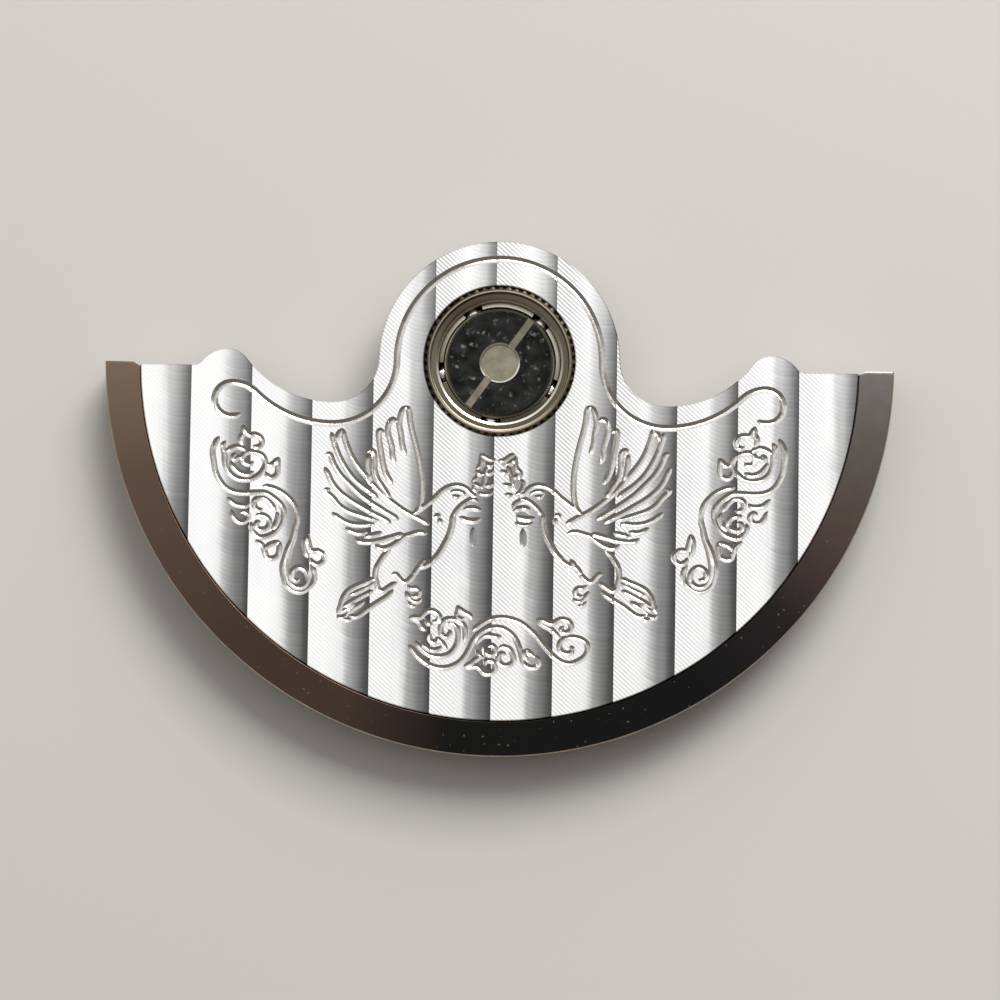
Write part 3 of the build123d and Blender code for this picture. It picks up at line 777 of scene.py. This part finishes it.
def engraved_plate():
    """The plate as one closed mesh, with its flutes, its engraving and its broken edges."""
    outline = plate_outline()
    hole = [(KNURL_TIP * math.cos(a), KNURL_TIP * math.sin(a)) for a in round_angles(8 * KNURLS)]
    strokes = cuts()
    points, edges = [], []

    def add_line(line, closed=False):
        start = len(points)
        points.extend((float(x), float(y)) for x, y in line)
        edges.extend((start + k, start + k + 1) for k in range(len(line) - 1))
        if closed:
            edges.append((len(points) - 1, start))

    for loop in (outline, inset(outline, 0.03), hole, [(x * 1.012, y * 1.012) for x, y in hole]):
        add_line(loop, True)
    first = math.floor((-PLATE_RADIUS - FLUTE_OFFSET) / FLUTE_PITCH)
    last = math.ceil((PLATE_RADIUS - FLUTE_OFFSET) / FLUTE_PITCH)
    for left in (FLUTE_OFFSET + number * FLUTE_PITCH for number in range(first, last + 1)):
        for x in [left - 0.006, left + 0.006] + [left + FLUTE_PITCH * k / FLUTE_CUTS for k in range(1, FLUTE_CUTS)]:
            if abs(x) < PLATE_RADIUS:
                add_line([(x, -PLATE_RADIUS + 0.5 * k) for k in range(34)])
    for line, wide, _ in strokes:
        side = sideways(np.gradient(line, axis=0)) * wide[:, None]
        for row in (line, line + side, line - side):
            add_line(row)
    flat, faces, _ = triangles(points, edges, outline, hole, 1e-5)
    used, faces = np.unique(faces, return_inverse=True)
    flat, faces = flat[used], faces.reshape(-1, 3)
    height = flute_height(flat[:, 0]) - cut_depth(flat, strokes)

    # boundary loops, broken edges and side walls
    found = {(f[a], f[b]) for f in faces.tolist() for a, b in ((0, 1), (1, 2), (2, 0))}
    border = [(f[a], f[b]) for f in faces.tolist() for a, b in ((0, 1), (1, 2), (2, 0)) if (f[b], f[a]) not in found]
    ring = {v: k for k, v in enumerate(sorted({v for edge in border for v in edge}))}
    height[list(ring)] -= BROKEN_EDGE
    top = np.column_stack([flat, height])
    base = len(top)
    walls = [(b, a, base + ring[a], base + ring[b]) for a, b in border]
    _, floors, back = triangles(flat[list(ring)], [(ring[a], ring[b]) for a, b in border], outline, hole)
    under = [tuple(base + back[i] for i in f)[::-1] for f in floors if all(back[i] is not None for i in f)]

    middle = flat[faces].mean(1)
    soft = len(BODIES) + len(STALKS)
    fine = len(TWIG_LINES) + len(LEAVES)
    in_cut, in_fine, in_soft = (cut_depth(middle, some) > CUT_EDGE
                                for some in (strokes, strokes[-soft - fine:-soft], strokes[-soft:]))
    corner = top[faces]
    lean = np.cross(corner[:, 1] - corner[:, 0], corner[:, 2] - corner[:, 0])
    # cut walls that face -Y get shaded_cut, a darker copy of the cut metal: painted shade
    shaded = lean[:, 1] / np.maximum(np.linalg.norm(lean, axis=1), 1e-12) < -0.2
    index = np.select([in_cut & shaded & ~in_soft, in_fine, in_soft, in_cut], [5, 4, 3, 1], 0)
    mesh = to_mesh("engraved_plate", np.vstack([top, [(*flat[v], PLATE_UNDER) for v in ring]]),
                   faces.tolist() + walls + under)
    finish_piece("engraved_plate", mesh, [
        fluted_nickel(), cut_nickel(), ringed("plain_nickel", 14.0, (206, 205, 200), (226, 225, 221), 0.3, 3.0, 0.003),
        # the flat-floored bodies and stalks get a grey metal that paints their darker reflection
        steel("grey_reflection_cut", (138, 136, 132), (158, 157, 153), 0.2),
        steel("grey_cut", (178, 177, 173), (200, 199, 196), 0.24),
        steel("shaded_cut", (176, 174, 170), (196, 194, 190), 0.25)
    ], "weight", "rotor_plate", 26, list(index) + [2] * (len(walls) + len(under)))


def rivet_set(profile):
    """Points and faces of a profile turned about each rivet's own axis."""
    points, faces = turned(profile, round_angles(48), False)
    for angle in (math.radians(FIRST_RIVET - RIVET_STEP * k) for k in range(RIVETS)):
        c, s = math.cos(angle), math.sin(angle)
        out = (LEDGE_INNER + PLATE_RADIUS) / 2
        yield [((x + out) * c - y * s, (x + out) * s + y * c, z) for x, y, z in points], faces


def heavy_rim(material, edge):
    """The heavy half ring, swept smoothly, with its end notches and the rivets' seats."""
    notch = PLATE_RADIUS + NOTCH_LENGTH
    profile = soften([
        (LEDGE_INNER + 0.12, RIM_FLOOR), (PLATE_RADIUS, RIM_FLOOR), (notch, RIM_FLOOR), (RIM_OUTER - 0.12, RIM_FLOOR),
        (RIM_OUTER, RIM_FLOOR + 0.12), (RIM_OUTER, RIM_TOP - 0.05), (RIM_OUTER - 0.05, RIM_TOP), (notch, RIM_TOP),
        (PLATE_RADIUS + 0.05, RIM_TOP), (PLATE_RADIUS, RIM_TOP - 0.05), (PLATE_RADIUS, PLATE_UNDER),
        (LEDGE_INNER, PLATE_UNDER), (LEDGE_INNER, RIM_FLOOR + 0.12)], 0.018)

    def start_at(r):
        if r < PLATE_RADIUS - 1e-4:
            return -math.asin(LEDGE_END / r)
        share = max(0.0, 1 - (r - PLATE_RADIUS) / NOTCH_LENGTH)
        return -math.asin((RIM_END + (LEDGE_END - RIM_END) * share) / r)

    steps = 360
    points, faces = [], []
    for k in range(steps + 1):
        for r, z in profile:
            start = start_at(r)
            angle = start + (-math.pi - 2 * start) * k / steps
            points.append((r * math.cos(angle), r * math.sin(angle), z))
    count = len(profile)
    border = [(j, (j + 1) % count) for j in range(count)]
    for k in range(0, steps * count, count):
        faces += [(k + m, k + count + m, k + count + j, k + j) for j, m in border]
    # each end folds where its notch begins and ends
    folds = []
    for fold in (PLATE_RADIUS, notch):
        on = [j for _, j in sorted((z, j) for j, (r, z) in enumerate(profile) if abs(r - fold) < 1e-5)]
        folds += list(zip(on, on[1:]))
    _, caps, back = triangles(profile, border + folds, profile)
    caps = [tuple(back[i] for i in f) for f in caps]
    faces += [f[::-1] for f in caps] + [tuple(steps * count + j for j in f) for f in caps]
    grow = 0.012
    seat = [(0, RIM_FLOOR - 0.2), (0.75 + grow, RIM_FLOOR - 0.2), (SHANK + grow, RIM_FLOOR + 0.23 + grow * 0.5),
            (SHANK + grow, SHANK_TOP), (0, SHANK_TOP)]
    mesh = carve(to_mesh("heavy_rim", points, faces), [to_mesh("seat", p, f) for p, f in rivet_set(seat)], 0.008)
    index = []
    for p in mesh.polygons:
        # the flat ends have the rim's own metal, and a number of their own gives them hard edges
        flat_end = p.normal.y > 0.97 and p.center.y > -LEDGE_END - 0.01
        # the outer top bevel takes the lighter edge steel: a painted highlight
        bright = p.center.to_2d().length > RIM_OUTER - 0.05 and RIM_TOP - 0.052 < p.center.z < RIM_TOP - 0.002
        index.append(2 if flat_end else int(bright))
    finish_piece("heavy_rim", mesh, [material, edge, material], "weight", "heavy_segment", 24, index)


def rivets(material):
    """Five rivets in one mesh, flush with the rim's underside."""
    points, faces = [], []
    for p, f in rivet_set([(0, RIM_FLOOR + 0.012), (0.3, RIM_FLOOR + 0.01), (0.5, RIM_FLOOR + 0.004),
                           (0.53, RIM_FLOOR + 0.012), (0.538, RIM_FLOOR + 0.02), (SHANK, RIM_FLOOR + 0.23),
                           (SHANK, SHANK_TOP), (0, SHANK_TOP)]):
        faces += [[i + len(points) for i in face] for face in f]
        points += p
    finish_piece("flush_rivets", to_mesh("flush_rivets", points, faces), [material], "weight", "segment_rivets",
                 30)


def track_arc(side, level, land):
    """The ball track's quarter, from its deepest point to the land."""
    reach = math.sqrt(TRACK ** 2 - (land - BALL_CIRCLE) ** 2)
    start = 0.0 if side > 0 else math.pi
    end = math.atan2(level * reach, land - BALL_CIRCLE)
    if side < 0 and level < 0:
        end += 2 * math.pi
    return [(BALL_CIRCLE + TRACK * math.cos(a), BALL_HEIGHT + TRACK * math.sin(a))
            for a in (start + (end - start) * k / 8 for k in range(9))]


def knurled_ring(*materials):
    """The outer ring, with teeth pressed round its top edge."""
    ring_top = PLATE_TOP - 0.05

    def profile_at(angle):
        turn = angle * KNURLS / (2 * math.pi)
        uneven = 0.5 + 0.5 * math.sin(2.7 * math.floor(turn + 0.5) + 1.9 * math.sin(angle * 3))
        tooth = min(1.0, abs((turn % 1.0) - 0.5) * 2.5)
        out = RING_OUT + 0.08 * tooth
        top = ring_top - 0.05 + (0.008 + 0.022 * uneven) * tooth
        return track_arc(1, -1, OUTER_LAND) + [
            (OUTER_LAND, 0.05), (RING_OUT, 0.05), (RING_OUT, FLANGE_UNDER), (FLANGE, FLANGE_UNDER),
            (FLANGE, PLATE_UNDER), (RING_OUT + 0.005, PLATE_UNDER), (out, PLATE_UNDER + 0.005), (out, top - 0.03),
            (out - 0.02, top), (RING_OUT - 0.03, ring_top - 0.012), (RING_OUT - 0.034, ring_top - 0.008),
            (RING_IN + 0.05, ring_top - 0.008), (RING_IN + 0.046, ring_top), (RING_IN + 0.012, ring_top),
            (RING_IN + 0.002, ring_top - 0.008), (RING_IN, ring_top - 0.03), (RING_IN, BALL_HEIGHT)]

    def pick(r, z):
        if r < RING_IN + 0.0005 and z > 1.0:
            return 2
        # the top lip takes lip_metal, whose tint by angle paints its reflection
        return int(RING_IN + 0.002 < r < RING_IN + 0.047 and z > ring_top - 0.0078)

    turned_piece("knurled_ring", profile_at, materials, "weight", "bearing_outer_ring", KNURLS * 8, pick=pick)


def cover_ring(*materials):
    """The ring that closes the bearing from above."""
    top = PLATE_TOP - 0.2
    outer = soften([(OUTER_LAND, BALL_HEIGHT + 0.36), (OUTER_LAND, top - 0.06), (2.036, top - 0.03), (2.108, top),
                    (2.25, top), (2.285, top - 0.014), (RING_IN, top - 0.05), (RING_IN, BALL_HEIGHT + 0.02)],
                   0.006, False)

    def pick(r, z):
        if r < 2.0355 and BALL_HEIGHT + 0.3 < z < top - 0.032:
            return 2
        # the inner chamfer and the outer bevel take chamfer_metal, whose tint by angle paints a highlight
        return int(top - 0.032 < z < top - 0.001 and (r < 2.107 or 2.251 < r < 2.285))

    turned_piece("cover_ring", track_arc(1, 1, OUTER_LAND) + outer[1:] + [(RING_IN, BALL_HEIGHT)], materials, "weight",
                 "bearing_cover_ring", pick=pick)


def winding_gear(material):
    """Seventy teeth with rounded tips and a broken edge above and below."""
    teeth, module, low, high, broken = 70, 0.09, 0.71, FLANGE_UNDER, 0.02
    pitch = teeth * module / 2
    tip, root = pitch + module, pitch - 1.2 * module
    shape = [(-0.5, root), (-0.36, root), (-0.3, root + 0.04), (-0.24, pitch), (-0.17, tip - 0.02), (-0.1, tip),
             (0.1, tip), (0.17, tip - 0.02), (0.24, pitch), (0.3, root + 0.04), (0.36, root)]
    radii = {(k + share) * 2 * math.pi / teeth: radius for k in range(teeth) for share, radius in shape}

    def profile_at(angle):
        r = radii[angle]
        return [(RING_OUT, low + broken), (RING_OUT + broken, low), (r - broken, low), (r, low + broken),
                (r, high - broken), (r - broken, high), (RING_OUT + broken, high), (RING_OUT, high - broken)]

    turned_piece("winding_gear", profile_at, [material], "weight", "drive_gear", list(radii), 28)


def races(material):
    """The two inner tracks."""
    seat = [(CORE_WALL, BALL_HEIGHT)]
    low = soften([(INNER_LAND, 0.14), (INNER_LAND, 0.025), (INNER_LAND - 0.025, 0), (BORE, 0), (BORE, 0.83),
                  (CORE_WALL, 0.83), (CORE_WALL, BALL_HEIGHT + 0.01)], 0.015, False)
    high = soften([(INNER_LAND, 0.81), (INNER_LAND, 0.835), (INNER_LAND - 0.025, RACE_TOP), (CORE_WALL, RACE_TOP),
                   (CORE_WALL, BALL_HEIGHT + 0.01)], 0.01, False)
    for name, level, rest in (("lower", -1, low), ("upper", 1, high)):
        turned_piece(f"core_{name}", track_arc(-1, level, INNER_LAND) + rest[1:] + seat, [material], "stator",
                     f"inner_race_{name}")


def cage(material):
    """The crown that spaces the balls, open above each of them."""
    inner, outer, low, top, broken = 1.854, 2.014, 0.04, 1.05, 0.012
    middle = (inner + outer) / 2
    half = math.asin(TRACK / middle)
    step = 2 * math.pi / BALLS
    tops = {}
    for centre in (math.radians(FIRST_BALL) + k * step for k in range(BALLS)):
        for at in (-half + 2 * half * j / 24 for j in range(25)):
            tops[centre + at] = BALL_HEIGHT - math.sqrt(max(0.0, TRACK ** 2 - (middle * math.sin(at)) ** 2))
        for j in range(33):
            tops[centre + half + 1e-4 + (step - 2 * half - 2e-4) * j / 32] = top

    def profile_at(angle):
        t = tops[angle]
        return [(inner, low), (outer, low), (outer, t - 0.02), (outer - broken, t - 0.007),
                (outer - broken - 0.003, t - 0.0065), (inner + broken + 0.003, t), (inner + broken, t),
                (inner, t - broken)]

    turned_piece("cage_crown", profile_at, [material], "cage", "ball_cage", list(tops), 30)


def balls(material):
    """Five bearing balls."""
    for k in range(BALLS):
        angle = math.radians(FIRST_BALL + 360 // BALLS * k)
        spot = Vector((BALL_CIRCLE * math.cos(angle), BALL_CIRCLE * math.sin(angle), BALL_HEIGHT))
        work = bmesh.new()
        bmesh.ops.create_uvsphere(work, u_segments=40, v_segments=24, radius=BALL_RADIUS)
        bmesh.ops.translate(work, verts=work.verts, vec=spot)
        mesh = bpy.data.meshes.new("bright_ball")
        work.to_mesh(mesh)
        work.free()
        finish_piece(f"bright_ball_{k + 1}", mesh, [material], f"ball_{k + 1}", f"ball_{k + 1}", 60)


def screw(*materials):
    """The slotted screw with its recess and a cut thread."""
    pitch, major, minor, rows = 0.25, 0.5, 0.43, 44
    low, high = FLOOR, 0.02

    def profile_at(angle):
        out = [(0, low), (0.3, low)]
        for k in range(rows + 1):
            z = low + 0.004 + (high - 0.03 - low) * k / rows
            crest = abs(((z / pitch - angle / (2 * math.pi)) % 1.0) - 0.5) * 2
            r = min(minor + (major - minor) * min(1.0, max(0.0, 1.25 * crest - 0.12)), 0.4 + (z - low))
            if z > -0.04:
                r = minor + (r - minor) * max(0.0, -z / 0.04)
            out.append((r, z))
        return out + [(0.44, high), (0.68, high), (0.7, high + 0.02), (0.7, RACE_TOP), (HEAD - 0.02, RACE_TOP),
                      (HEAD, RACE_TOP + 0.02), (HEAD, HEAD_TOP - 0.045), (HEAD - 0.008, HEAD_TOP - 0.03),
                      (HEAD - 0.055, HEAD_TOP), (0, HEAD_TOP)]

    slot = bpy.data.meshes.new("slot")
    rework(slot, lambda work: bmesh.ops.create_cube(
        work, size=1.0, matrix=Matrix.Rotation(math.radians(54.5), 4, "Z")
        @ Matrix.Translation((0, 0, HEAD_TOP - 0.12 + 0.25)) @ Matrix.Diagonal((5.0, 0.25, 0.5, 1.0))))
    bore = [(0, HEAD_TOP - 0.17), (0.605, HEAD_TOP - 0.17), (0.605, HEAD_TOP - 0.036), (0.67, HEAD_TOP + 0.0015),
            (0.67, HEAD_TOP + 0.2), (0, HEAD_TOP + 0.2)]
    mesh = carve(to_mesh("slotted_screw", *turned(profile_at, round_angles(192), False)),
                 [slot, to_mesh("bore", *turned(bore, round_angles(96), False))], 0.01)
    index = []
    for p in mesh.polygons:
        r, z = p.center.to_2d().length, p.center.z
        hollow = RACE_TOP + 0.02 < z < HEAD_TOP - 0.015 and r < HEAD - 0.001
        ring = HEAD_TOP - 0.036 < z < HEAD_TOP - 0.001 and 0.605 < r < 0.67 and 0.5 < p.normal.z < 0.95
        # the head's outer edge takes head_edge, whose tint by angle paints its highlight
        rim = r > HEAD - 0.054 and HEAD_TOP - 0.044 < z < HEAD_TOP - 0.001
        index.append(2 if ring else 3 if rim else 1 if hollow or z < 0.5 else 0)
    finish_piece("slotted_screw", mesh, materials, "stator", "centre_screw", 20, index)


engraved_plate()
# the rim's edge steel is lighter than the rim: a painted highlight on its outer top bevel
heavy_rim(rim_metal(), steel("highlight_edge", (150, 138, 126), (184, 172, 160), 0.22, 9.0, 0.0005))
rivets(steel("rivet_metal", (150, 147, 140), (186, 184, 178), 0.26))
polished = steel("polished_edge", (206, 203, 194), (232, 230, 222), 0.14, 9.0, 0.0004)
wall = steel("ring_wall", (186, 176, 160), (206, 196, 180), 0.4, 30.0, 0.001, metallic=0.25)
# the knurl's and lip's tints by angle are painted light and shade: the knurl lighter near the bottom and the top, the
# lip brightest at the bottom
knurled_ring(
    steel("knurl_metal", (62, 56, 47), (112, 103, 88), 0.42, 12.0, round_=[
        (0.0, 165, 160, 150), (0.2, 255, 252, 245), (0.42, 175, 170, 160), (0.7, 245, 240, 230),
        (0.88, 160, 155, 146), (1.0, 165, 160, 150)]),
    steel("lip_metal", (236, 236, 234), (255, 255, 255), 0.16, 9.0, 0.0004, [
        (0.0, 140, 134, 122), (0.22, 225, 214, 200), (0.43, 115, 107, 95), (0.68, 200, 188, 178),
        (1.0, 140, 134, 122)]),
    wall)
# the cover's tint by angle paints a dark brown reflection, darkest toward the upper left; the chamfer's paints a bright
# crescent from the lower left round the bottom
cover_ring(
    steel("cover_metal", (232, 232, 230), (255, 255, 255), 0.2, round_=[
        (0.0, 110, 104, 90), (0.3, 96, 89, 71), (0.6, 96, 89, 77), (0.87, 76, 66, 56), (1.0, 110, 104, 90)]),
    steel("chamfer_metal", (240, 240, 238), (255, 255, 255), 0.16, 9.0, 0.0004, [
        (0.0, 145, 140, 130), (0.12, 238, 234, 225), (0.3, 255, 253, 246), (0.4, 205, 200, 190),
        (0.5, 140, 135, 124), (0.75, 150, 143, 131), (0.88, 106, 98, 86), (1.0, 145, 140, 130)]),
    wall)
winding_gear(ringed("gilt_brass", 26.0, (196, 160, 96), (222, 190, 126), 0.27, 2.0, 0.002))
# the races' tint by angle is painted light: brightest on the left and at the top
races(steel("race_metal", (156, 148, 134), (180, 172, 157), 0.35, round_=[
    (0.0, 255, 250, 240), (0.2, 180, 174, 164), (0.45, 160, 155, 146), (0.7, 240, 234, 222),
    (1.0, 255, 250, 240)], metallic=0.35))
# the cage's tint by angle paints shade: dark brown at the bottom and lower right, light on the upper right and top
cage(steel("cage_metal", (226, 226, 224), (255, 255, 255), 0.24, round_=[
    (0.0, 120, 116, 98), (0.2, 78, 70, 56), (0.38, 78, 72, 58), (0.57, 192, 186, 174), (0.82, 206, 200, 188),
    (1.0, 120, 116, 98)]))
balls(steel("ball_metal", (206, 206, 206), (224, 224, 224), 0.08, 6.0, 0.0003))
# the head edge's tint by angle paints a bright edge line from the upper right through the top, dark below
screw(black_screw(), slot_steel(), polished, steel(
    "head_edge", (232, 232, 230), (250, 250, 250), 0.16, 9.0, 0.0004, [
        (0.0, 120, 116, 108), (0.12, 52, 50, 46), (0.4, 50, 48, 45), (0.6, 196, 191, 180),
        (0.87, 196, 191, 180), (1.0, 120, 116, 108)]))


# Floor, light and camera

def floor():
    """A plain pale surface under the part."""
    mesh = bpy.data.meshes.new("floor")
    size = 1.5
    mesh.from_pydata([(x * size, y * size, FLOOR * MM) for x, y in ((-1, -1), (1, -1), (1, 1), (-1, 1))], [],
                     [(0, 1, 2, 3)])
    mesh.materials.append(Shader("pale_floor").finish(srgb(180, 178, 173), 0.85, 0.0, **{"Specular IOR Level": 0.2}))
    linked("floor", mesh)


def surroundings():
    """A soft studio all round, brightest above and behind, darker low on the right and in front."""
    world = bpy.data.worlds.new("studio")
    bpy.context.scene.world = world
    world.use_nodes = True
    world.node_tree.nodes.clear()
    g = Graph(world.node_tree)
    toward = g.node("TexCoord", output="Generated")
    aim = g.node("VectorMath", {0: toward, 1: Vector((-0.12, 0.72, 0.68)).normalized()}, "Value",
                 operation="DOT_PRODUCT")
    facing = g.math("MULTIPLY_ADD", aim, 0.5, 0.5)

    def sky(*levels):
        """The light by the direction, warmer where it is dim."""
        stops = []
        for at, level in levels + ((0.785, 1.0), (0.88, 1.03), (1.0, 0.96)):
            warm = 0.45 * max(0.0, 0.8 - level)
            stops.append((at, (level, level * (1 - 0.5 * warm), level * (1 - warm), 1)))
        return g.ramp(facing, *stops)

    def fade(value, start, end, low, high):
        return g.node("MapRange", {"Value": value, "From Min": start, "From Max": end, "To Min": low, "To Max": high})

    path = g.node("LightPath")
    bright = g.mix(path.out("Is Glossy Ray"), sky((0.0, 0.11), (0.3, 0.08), (0.59, 0.09), (0.7, 0.32)),
                   sky((0.0, 0.2), (0.3, 0.24), (0.59, 0.25), (0.7, 0.36)))
    split = g.node("SeparateXYZ", {0: toward})
    horizon = fade(split.out("Z"), 0.12, 0.3, 1.0, 0.0)
    left = fade(split.out("X"), 0.1, -0.7, 0.35, 1.0)
    light = g.node("Background", {"Color": g.mix(horizon * left, bright, (0.72, 0.6, 0.48, 1))})
    seen = g.node("Background", {"Color": srgb(210, 208, 203)})
    pick = g.node("MixShader", {0: path.out("Is Camera Ray"), 1: light, 2: seen})
    g.plug(g.tree.nodes.new("ShaderNodeOutputWorld").inputs[0], pick)


def lamp(name, place, aim, size, watts):
    """A soft square lamp, placed in millimetres."""
    data = bpy.data.lights.new(name, "AREA")
    data.shape, data.size, data.energy = "SQUARE", size * MM, watts
    item = linked(name, data)
    item.location = Vector(place) * MM
    item.rotation_euler = (Vector(aim) - Vector(place)).to_track_quat("-Z", "Y").to_euler()


def camera():
    """The photograph's viewpoint, nearly straight above the plate."""
    data = bpy.data.cameras.new("camera")
    data.lens, data.sensor_width, data.sensor_fit = 109.72, 36.0, "HORIZONTAL"
    data.clip_start, data.clip_end = 0.001, 20.0
    item = linked("camera", data)
    place, aim = Vector((0.530, -12.156, 101.343)), Vector((0.079, -4.597, 1.63))
    forward = (aim - place).normalized()
    up = Vector((0.99989, 0.01476, -0.0034)).cross(forward).normalized()
    pose = Matrix((forward.cross(up).normalized(), up, -forward)).transposed().to_4x4()
    pose.translation = place * MM
    item.matrix_world = pose
    bpy.context.scene.camera = item


floor()
surroundings()
lamp("key", (60, 136, 172), (0, -4, 0), 120, 0.57)
camera()
bpy.context.scene.view_settings.view_transform = "Standard"
